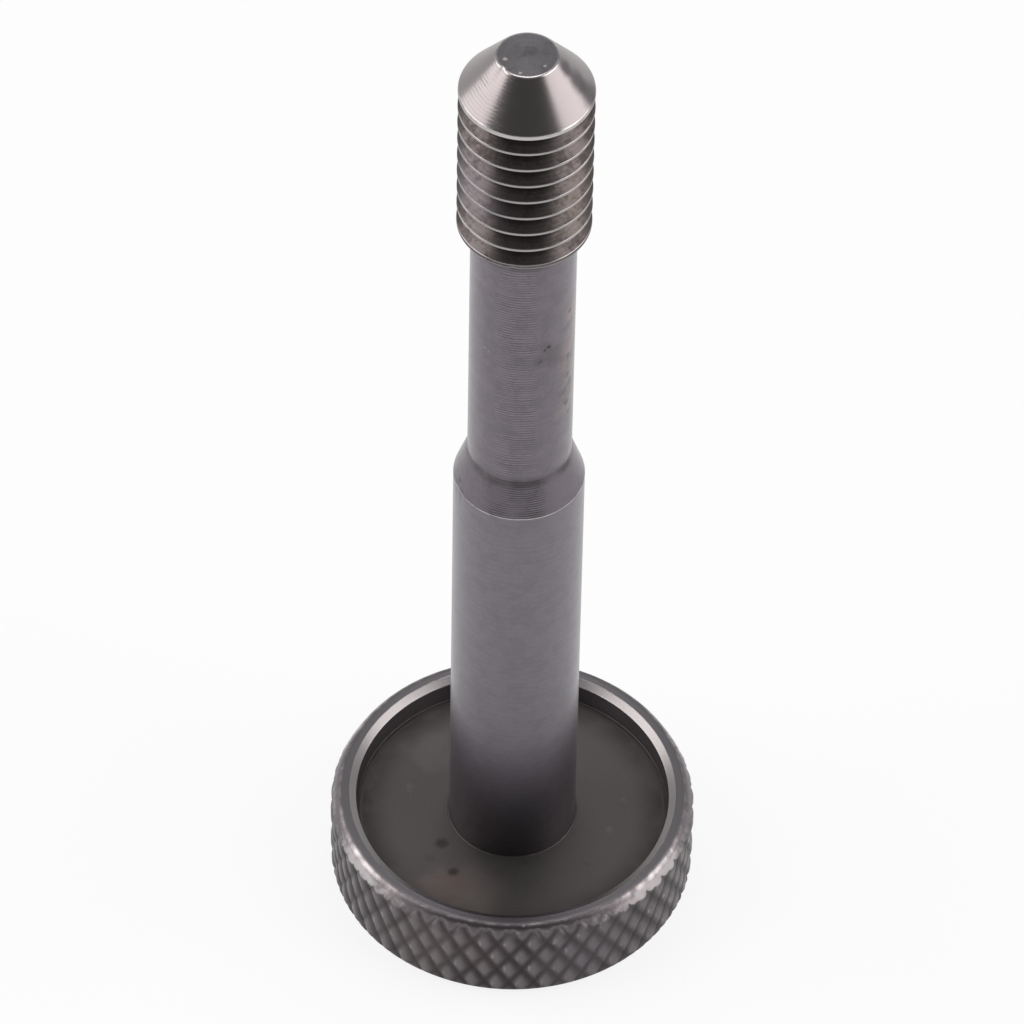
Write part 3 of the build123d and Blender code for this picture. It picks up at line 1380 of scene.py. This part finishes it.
FINISHES: dict[Zone, SteelFinish] = {
    Zone.FACE: SteelFinish("turned_face", (0.20, 0.19, 0.20), lay=Lay.ACROSS, pitch=0.2, marks_tone=0.2),
    # The knurl's dark grooves are partly dirt and partly painted shade, and its wear carries painted
    # highlights
    Zone.KNURL: SteelFinish(
        "knurled_band",
        (0.152, 0.136, 0.143),
        bare=(0.46, 0.43, 0.43),
        dirty=(0.05, 0.043, 0.044),
        rough=0.4,
        rough_bare=0.34,
        marks_tone=0.05,
        stain_scale=0.7,
        stain_cover=0.5,
        wear_break=0.9,
        sheen_lay=0.0,
        spots=(
            Spot((-4.6, -7.3, 2.6), 3.2, EARTH, 0.25, 2.2),
            Spot((-1.9, -8.4, 3.4), 2.0, BROWN, 0.12, 2.4),
            Spot((3.4, -7.9, 2.4), 3.0, LILAC, 0.3, 2.4),
            # Painted highlight: a small glint on the rim's outer edge at the front
            Spot((0.64, -8.19, 4.7), 0.14, BRIGHT, 0.8),
        ),
    ),
    Zone.RIM: SteelFinish(
        "turned_rim",
        (0.16, 0.152, 0.162),
        bare=(0.40, 0.38, 0.38),
        rough=0.4,
        lay=Lay.ACROSS,
        pitch=0.1,
        stain_scale=0.5,
        stain_cover=0.35,
        sheen_lay=0.5,
    ),
    Zone.BEVEL: SteelFinish(
        "turned_bevel",
        (0.33, 0.312, 0.31),
        bare=(0.40, 0.38, 0.38),
        rough=0.32,
        lay=Lay.ACROSS,
        pitch=0.07,
        stain_scale=0.6,
        stain_cover=0.2,
    ),
    Zone.WALL: SteelFinish(
        "dark_wall",
        (0.23, 0.215, 0.23),
        rough=0.38,
        pitch=0.15,
        stain_scale=0.6,
        stain_cover=0.4,
    ),
    Zone.RECESS: SteelFinish(
        "stained_recess_with_painted_shade",
        (0.115, 0.106, 0.105),
        bare=(0.2, 0.19, 0.18),
        dirty=(0.06, 0.052, 0.05),
        rough=0.55,
        rough_dirty=0.6,
        lay=Lay.ACROSS,
        pitch=0.22,
        marks_tone=0.03,
        stain_scale=0.5,
        stain_cover=0.4,
        spots=(
            Spot((-2.4, -5.6, 3.4), 3.0, EARTH, 0.65, 1.2),
            Spot((-2.87, -4.79, 3.4), 1.3, RUST, 0.3, 1.8),
            Spot((-3.99, 3.52, 3.4), 1.6, PALE, 0.25, 1.4),
            Spot((4.6, -1.2, 3.4), 0.25, PALE, 0.3, 2.0),
            Spot((5.3, 0.7, 3.4), 0.2, PALE, 0.25, 2.0),
            Spot((-4.9, 1.2, 3.4), 0.35, PALE, 0.25, 2.0),
            Spot((-3.30, -2.23, 3.4), 0.46, SOOT_AND_SHADE, 0.6, 0.6),
            Spot((-2.74, -4.00, 3.4), 0.38, SOOT_AND_SHADE, 0.65, 0.6),
        ),
        # The first ring is painted shade, darker towards the recess wall
        ring_marks=(RingMark(8.0, 2.4, SOOT_AND_SHADE, 0.6, 0.5), RingMark(7.2, 0.08, PALE, 0.25)),
    ),
    Zone.SHANK: SteelFinish(
        "drawn_shank",
        (0.172, 0.157, 0.18),
        rough=0.37,
        pitch=0.35,
        relief=0.001,
        marks_tone=0.06,
        oil=0.35,
        dirty=(0.145, 0.132, 0.148),
        rough_dirty=0.4,
        stain_scale=1.5,
        stain_cover=0.75,
        wear_break=1.4,
        ring_marks=(RingMark(25.3, 0.05, PALE, 0.8), RingMark(25.0, 0.04, PALE, 0.5)),
    ),
    Zone.SHOULDER: SteelFinish(
        "turned_shoulder",
        (0.145, 0.127, 0.146),
        rough=0.34,
        pitch=0.11,
        relief=0.007,
        marks_tone=0.42,
        strip=-5.0,
        strip_reach=40.0,
        oil=0.35,
        dirty=(0.1, 0.09, 0.1),
        stain_scale=0.9,
        stain_cover=0.6,
        spots=(
            Spot((-2.67, -1.01, 27.81), 0.16, SOOT_AND_SHADE, 0.6, 2.0),
            Spot((-2.57, -1.47, 27.51), 0.13, SOOT_AND_SHADE, 0.6, 2.0),
            Spot((-2.78, -0.51, 27.93), 0.14, SOOT_AND_SHADE, 0.5, 2.0),
        ),
        ring_marks=(RingMark(29.2, 0.42, SMUDGE_AND_SHADE, 0.9, 0.7),),
    ),
    Zone.NECK: SteelFinish(
        "turned_neck",
        (0.161, 0.141, 0.163),
        dirty=(0.12, 0.108, 0.12),
        rough_dirty=0.38,
        rough=0.34,
        pitch=0.155,
        relief=0.008,
        marks_tone=0.62,
        strip=-6.0,
        strip_reach=28.0,
        oil=0.35,
        stain_scale=1.5,
        stain_cover=0.75,
        spots=(
            Spot((2.2, -0.89, 39.0), 0.9, BROWN, 0.65, 2.8),
            Spot((2.2, -0.89, 37.2), 1.0, BROWN, 0.75, 2.8),
            Spot((2.22, -0.85, 35.4), 1.1, BROWN, 0.8, 2.8),
            Spot((2.2, -0.89, 33.4), 1.1, BROWN, 0.75, 2.8),
            Spot((2.13, -1.05, 38.4), 0.6, SMUDGE_AND_SHADE, 0.4, 3.0),
            Spot((2.13, -1.05, 36.4), 0.7, SMUDGE_AND_SHADE, 0.45, 3.0),
            Spot((2.13, -1.05, 34.1), 0.8, SMUDGE_AND_SHADE, 0.5, 3.0),
            Spot((1.3, -1.98, 37.3), 1.0, SMUDGE_AND_SHADE, 0.35, 2.2),
            Spot((1.75, -1.6, 35.0), 0.8, SMUDGE_AND_SHADE, 0.25, 2.2),
            Spot((-1.62, -1.74, 37.45), 0.1, BRIGHT, 0.2),
            Spot((-1.48, -1.86, 37.32), 0.1, BRIGHT, 0.2),
            Spot((2.06, -1.19, 35.2), 0.24, SOOT_AND_SHADE, 0.8, 2.0),
            Spot((2.17, -0.97, 34.6), 0.28, SOOT_AND_SHADE, 0.8, 2.2),
            Spot((2.06, -1.19, 33.4), 0.24, SOOT_AND_SHADE, 0.75, 2.0),
            Spot((2.13, -1.04, 32.6), 0.22, SOOT_AND_SHADE, 0.75, 2.0),
            Spot((2.11, -1.09, 39.31), 0.2, SOOT_AND_SHADE, 0.9, 1.2),
            Spot((1.21, -2.04, 37.90), 0.15, SOOT_AND_SHADE, 0.9, 1.2),
            Spot((1.04, -2.14, 37.78), 0.12, SOOT_AND_SHADE, 0.8, 1.2),
            Spot((2.07, -1.16, 36.45), 0.2, SOOT_AND_SHADE, 0.8, 1.2),
            Spot((0.83, -2.23, 37.11), 0.16, SOOT_AND_SHADE, 0.5, 1.4),
            Spot((2.36, -0.26, 39.73), 0.2, SOOT_AND_SHADE, 0.85, 1.2),
        ),
        # The second line is painted shade, a soft dark band just below the ringed end
        ring_marks=(RingMark(29.2, 0.42, SMUDGE_AND_SHADE, 0.9, 0.7), RingMark(43.2, 0.3, SMUDGE_AND_SHADE, 0.6)),
    ),
    Zone.RINGS: SteelFinish(
        "cut_rings",
        (0.12, 0.105, 0.103),
        bare=(0.36, 0.34, 0.34),
        dirty=(0.035, 0.028, 0.026),
        rough=0.34,
        rough_bare=0.25,
        pitch=0.12,
        marks_tone=0.15,
        stain_scale=1.1,
        stain_cover=0.7,
        wear_break=0.8,
        spots=(
            Spot((2.2, -1.4, 46.5), 2.4, OLIVE, 0.3, 2.0),
            Spot((-2.2, -1.4, 47.5), 3.0, LILAC, 0.45, 1.6),
        ),
    ),
    Zone.CONE: SteelFinish(
        "turned_cone",
        (0.265, 0.24, 0.242),
        bare=(0.5, 0.48, 0.48),
        rough=0.3,
        pitch=0.13,
        relief=0.006,
        marks_tone=0.12,
        strip=-52.0,
        strip_reach=38.0,
        sheen_lay=0.5,
        stain_scale=0.5,
        stain_cover=0.15,
        spots=(
            # Painted shade: three dark spots down the cone's right side dim the lamp's reflection there
            Spot((2.75, -0.53, 52.36), 0.97, SMUDGE_AND_SHADE, 0.62, 0.6),
            Spot((2.21, -0.43, 53.06), 0.78, SMUDGE_AND_SHADE, 0.62, 0.6),
            Spot((1.67, -0.32, 53.76), 0.6, SMUDGE_AND_SHADE, 0.62, 0.6),
        ),
    ),
    Zone.TIP: SteelFinish(
        "grainy_tip",
        (0.16, 0.152, 0.162),
        bare=(0.5, 0.48, 0.48),
        dirty=(0.095, 0.09, 0.095),
        rough=0.42,
        lay=Lay.ACROSS,
        pitch=0.3,
        marks_tone=0.06,
        stain_scale=1.7,
        stain_cover=0.6,
        spots=(
            Spot((0.05, 0.2, 54.17), 0.45, SMUDGE_AND_SHADE, 0.4, 1.8),
            Spot((-0.97, -0.28, 54.17), 0.14, BRIGHT, 0.8),
            Spot((-0.31, -1.11, 54.17), 0.1, BRIGHT, 0.7),
            Spot((0.76, -0.66, 54.17), 0.1, BRIGHT, 0.6),
        ),
    ),
}

NICKS: tuple[Nick, ...] = (
    Nick(-51.0, 54.1, 0.16, 0.09),
    Nick(-8.7, 43.95, 0.12, 0.07),
    Nick(-55.0, 45.0, 0.12, 0.05),
    Nick(-69.0, 27.5, 0.2, 0.05),
    Nick(-61.0, 27.45, 0.13, 0.05),
    Nick(-79.0, 27.6, 0.14, 0.05),
)


class Bolt:
    """The whole bolt, one turned piece, built from the frame's sizes."""

    def __init__(self, frame: dict) -> None:
        """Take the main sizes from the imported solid's box and mounts.
        """
        low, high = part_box(NODE)
        mounts = {mount["name"]: mount for mount in frame["record"]["mounts"]}
        shank = mounts["shank"]
        middle = shank["pos_m"][2] / MM
        half = shank["dims"]["length_mm"] / 2
        radius = shank["dims"]["r_mm"]
        self.head = KnurledHead((high.x - low.x) / 2 / MM, mounts["rim_face"]["pos_m"][2] / MM)
        self.stem = Stem(radius, middle - half, middle + half)
        self.end = RingedEnd(radius, high.z / MM)

    def build(self) -> bpy.types.Object:
        """Return the bolt as one mesh object."""
        draft = MeshDraft()
        rows, row_angles = self.head.knurl_rows(draft)
        draft.lattice(rows, Zone.KNURL)
        self._underside(draft, rows[0], row_angles[0])
        self._turned(draft, rows[-1], row_angles[-1])
        piece = bpy.data.objects.new("turned_bolt", draft.mesh("turned_bolt"))
        bpy.context.scene.collection.objects.link(piece)
        return piece

    def _underside(self, draft: MeshDraft, edge: np.ndarray, angles: np.ndarray) -> None:
        """Add the flat that the bolt stands on.

        Args:
            draft: The mesh that takes the faces.
            edge: The band's lowest row.
            angles: The angles of its points.
        """
        outer = self.head.chamfer_radius
        inner = outer - Outline.EDGE_STEP
        rim = draft.ring(inner, 0.0, angles)
        draft.join(rim, edge, Zone.FACE)
        coarse = angles[:: self.head.coarse_step]
        middle = draft.ring(inner / 2, 0.0, coarse)
        draft.join(middle, rim, Zone.FACE)
        draft.close(middle, 0.0, Zone.FACE, first=True)

    def _turned(self, draft: MeshDraft, edge: np.ndarray, angles: np.ndarray) -> None:
        """Add all that lies inside and above the rim's outer edge.

        Args:
            draft: The mesh that takes the faces.
            edge: The band's highest row.
            angles: The angles of its points.
        """
        support = draft.ring(self.head.chamfer_radius - self.head.rim_softness, self.head.height, angles)
        draft.join(edge, support, Zone.RIM)
        corners = [*self.head.corners(), *self.stem.corners(), *self.end.corners(self.stem.neck_radius)]
        coarse = angles[:: self.head.coarse_step]
        before = support
        for point in Outline(corners).points():
            dents = sum(nick.dent(point.radius, point.height, coarse) for nick in NICKS)
            heights = point.height + self.stem.burred(point.height, coarse)
            # Partly a painted highlight: edges keep their wear at the front and the back and lose part of it
            # at the sides
            wear_lit_at_front = point.wear * (1 - FRONT_HIGHLIGHT + FRONT_HIGHLIGHT * np.abs(np.cos(coarse)))
            here = draft.ring(point.radius - dents, heights, coarse, wear_lit_at_front, point.dirt)
            draft.join(before, here, point.zone)
            before = here
        draft.close(before, self.end.tip_height, Zone.TIP, first=False)

    def dress(self, piece: bpy.types.Object) -> None:
        """Give the piece its finishes and seat it in the frame.

        Args:
            piece: The bolt's mesh object.
        """
        effects = Effects()
        for zone in Zone:
            piece.data.materials.append(FINISHES[zone].material(effects))
        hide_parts(NODE)
        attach(piece, BODY)
        counts = len(piece.data.polygons), len(piece.data.materials)
        LOG.info("%s: %d faces, %d finishes", piece.name, *counts)


@dataclass
class Studio:
    """A pale floor, three soft lamps and a plain room around them. Lengths are in metres.

    Attributes:
        floor_radius: Size of the floor.
        floor_drop: How far the floor lies below the bolt.
        floor_colour: Colour of the floor.
        floor_glow: Share of plain white in what the eye and the metal see of the floor.
        lamp_distance: How far each lamp stands from the axis.
        lamp_angles: Where the right and the left lamp stand, in degrees from the front.
        lamp_width: Width of each lamp.
        lamp_height: Height of each lamp.
        lamp_rise: Height of the lamp's lower edge.
        lamp_level: How bright each lamp's face is.
        lamp_colour: Colour of the light.
        top_height: Height of the lamp overhead.
        top_back: How far behind the axis it hangs.
        top_size: Its width and length.
        top_level: How bright its face is.
        room_front: How bright the room is on the viewer's side.
        room_above: How bright it is high up on that side.
        room_back: How bright it is on the far side.
        room_low: How bright it is at the horizon.
        above_range: Where the room turns from the viewer's side to high up, as the rise of a direction.
        back_range: Where it turns to the far side, as the depth of a direction.
        horizon_range: Where the horizon ends, as the rise of a direction.
    """

    floor_radius: float = 2.0
    floor_drop: float = 0.00002
    floor_colour: Colour = (0.92, 0.92, 0.92)
    floor_glow: float = 0.85
    lamp_distance: float = 0.3
    lamp_angles: tuple[float, float] = (83.0, -90.0)
    lamp_width: float = 0.31
    lamp_height: float = 0.42
    lamp_rise: float = 0.03
    lamp_level: float = 2.5
    lamp_colour: Colour = (1.0, 0.965, 0.965)
    top_height: float = 0.36
    top_back: float = 0.09
    top_size: float = 0.15
    top_level: float = 3.0
    room_front: float = 0.05
    room_above: float = 0.2
    room_back: float = 0.6
    room_low: float = 0.9
    above_range: tuple[float, float] = (0.4, 0.9)
    back_range: tuple[float, float] = (-0.5, 0.7)
    horizon_range: tuple[float, float] = (0.02, 0.25)

    def build(self) -> None:
        """Add the floor, the lamps and the room."""
        self._floor()
        for name, turn in zip(("lamp_right", "lamp_left"), self.lamp_angles):
            angle = math.radians(turn)
            away = Vector((math.sin(angle), -math.cos(angle), 0))
            place = away * self.lamp_distance + Vector((0, 0, self.lamp_rise + self.lamp_height / 2))
            self._lamp(name, place, away, (self.lamp_width, self.lamp_height), self.lamp_level)
        above = Vector((0, self.top_back, self.top_height))
        self._lamp("lamp_top", above, above.normalized(), (self.top_size, self.top_size), self.top_level)
        self._room()
        LOG.info("studio: floor, three lamps and room")

    def _floor(self) -> None:
        """Add the floor, which shows near white and keeps the bolt's shadow."""
        size = self.floor_radius
        mesh = bpy.data.meshes.new("floor")
        corners = [(x * size, y * size, -self.floor_drop) for x, y in ((-1, -1), (1, -1), (1, 1), (-1, 1))]
        mesh.from_pydata(corners, [], [(0, 1, 2, 3)])
        floor = bpy.data.objects.new("floor", mesh)
        bpy.context.scene.collection.objects.link(floor)
        material = bpy.data.materials.new("pale_floor")
        material.use_nodes = True
        material.node_tree.nodes.clear()
        wiring = Wiring(material.node_tree)
        matte = wiring.add("ShaderNodeBsdfDiffuse")
        matte.inputs["Color"].default_value = (*self.floor_colour, 1.0)
        glow = wiring.add("ShaderNodeEmission")
        light = wiring.add("ShaderNodeLightPath")
        seen = wiring.math("ADD", light.outputs["Is Camera Ray"], light.outputs["Is Glossy Ray"])
        seen = wiring.math("ADD", seen, light.outputs["Is Transmission Ray"], clamp=True)
        mix = wiring.add("ShaderNodeMixShader")
        wiring.feed(mix.inputs[0], wiring.math("MULTIPLY", seen, self.floor_glow))
        wiring.feed(mix.inputs[1], matte.outputs[0])
        wiring.feed(mix.inputs[2], glow.outputs[0])
        output = wiring.add("ShaderNodeOutputMaterial")
        wiring.feed(output.inputs["Surface"], mix.outputs[0])
        mesh.materials.append(material)

    def _lamp(
        self, name: str, place: Vector, back: Vector, size: tuple[float, float], level: float
    ) -> None:
        """Add one soft lamp, which only the eye itself doesn't see.

        Args:
            name: The lamp's name.
            place: Its middle.
            back: The direction that its back faces.
            size: Its width and height.
            level: How bright its face is.
        """
        light = bpy.data.lights.new(name, "AREA")
        light.shape = "RECTANGLE"
        light.size, light.size_y = size
        light.energy = level * math.pi * size[0] * size[1]
        light.color = self.lamp_colour
        lamp = bpy.data.objects.new(name, light)
        lamp.location = place
        lamp.rotation_mode = "QUATERNION"
        lamp.rotation_quaternion = (-back).to_track_quat("-Z", "Y")
        lamp.visible_camera = False
        bpy.context.scene.collection.objects.link(lamp)

    def _room(self) -> None:
        """Add the room: pale at the horizon, dim on the viewer's side and lighter on the far side."""
        world = bpy.data.worlds.new("room")
        world.use_nodes = True
        wiring = Wiring(world.node_tree)
        background = world.node_tree.nodes["Background"]
        direction = wiring.add("ShaderNodeSeparateXYZ")
        wiring.feed(direction.inputs[0], wiring.add("ShaderNodeTexCoord").outputs["Generated"])
        front = wiring.ramp(direction.outputs["Z"], *self.above_range, self.room_front, self.room_above)
        depth = wiring.ramp(direction.outputs["Y"], *self.back_range, front, self.room_back)
        level = wiring.ramp(direction.outputs["Z"], *self.horizon_range, self.room_low, depth)
        wiring.feed(background.inputs["Color"], level)
        bpy.context.scene.world = world


@dataclass
class PhotoCamera:
    """The camera, at the place and with the angle of the photograph. Lengths are in millimetres.

    Attributes:
        elevation: Its angle above the floor, in degrees.
        distance: Its distance from the target.
        focal_length: Its lens.
        sensor: Width of its sensor.
        roll: How far it is tipped sideways, in degrees.
        target: The place that it looks at.
        near_parts: How many times nearer than the target its view starts.
    """

    elevation: float = 48.2116
    distance: float = 383.2323
    focal_length: float = 294.43
    sensor: float = 36.0
    roll: float = -1.1288
    target: tuple[float, float, float] = (-0.2856, 0.0, 24.5718)
    near_parts: float = 100.0

    def build(self) -> None:
        """Add the camera and make it the scene's own."""
        tilt = math.radians(self.elevation)
        roll = math.radians(self.roll)
        back = Vector((0, -math.cos(tilt), math.sin(tilt)))
        level = Vector((1, 0, 0))
        rise = back.cross(level)
        right = level * math.cos(roll) - rise * math.sin(roll)
        up = level * math.sin(roll) + rise * math.cos(roll)
        data = bpy.data.cameras.new("camera")
        data.lens = self.focal_length
        data.sensor_width = self.sensor
        data.clip_start = self.distance * MM / self.near_parts
        camera = bpy.data.objects.new("camera", data)
        place = Matrix((right, up, back)).transposed().to_4x4()
        place.translation = (Vector(self.target) + back * self.distance) * MM
        camera.matrix_world = place
        bpy.context.scene.collection.objects.link(camera)
        bpy.context.scene.camera = camera
        LOG.info("camera: %.1f mm lens", data.lens)


def main() -> None:
    """Load the frame, build and dress the bolt, and set up the studio and the camera."""
    logging.basicConfig(level=logging.INFO, format="%(name)s: %(message)s")
    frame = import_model()
    bpy.context.scene.view_settings.view_transform = "Standard"
    bolt = Bolt(frame)
    bolt.dress(bolt.build())
    Studio().build()
    PhotoCamera().build()


if __name__ == "__main__":
    main()
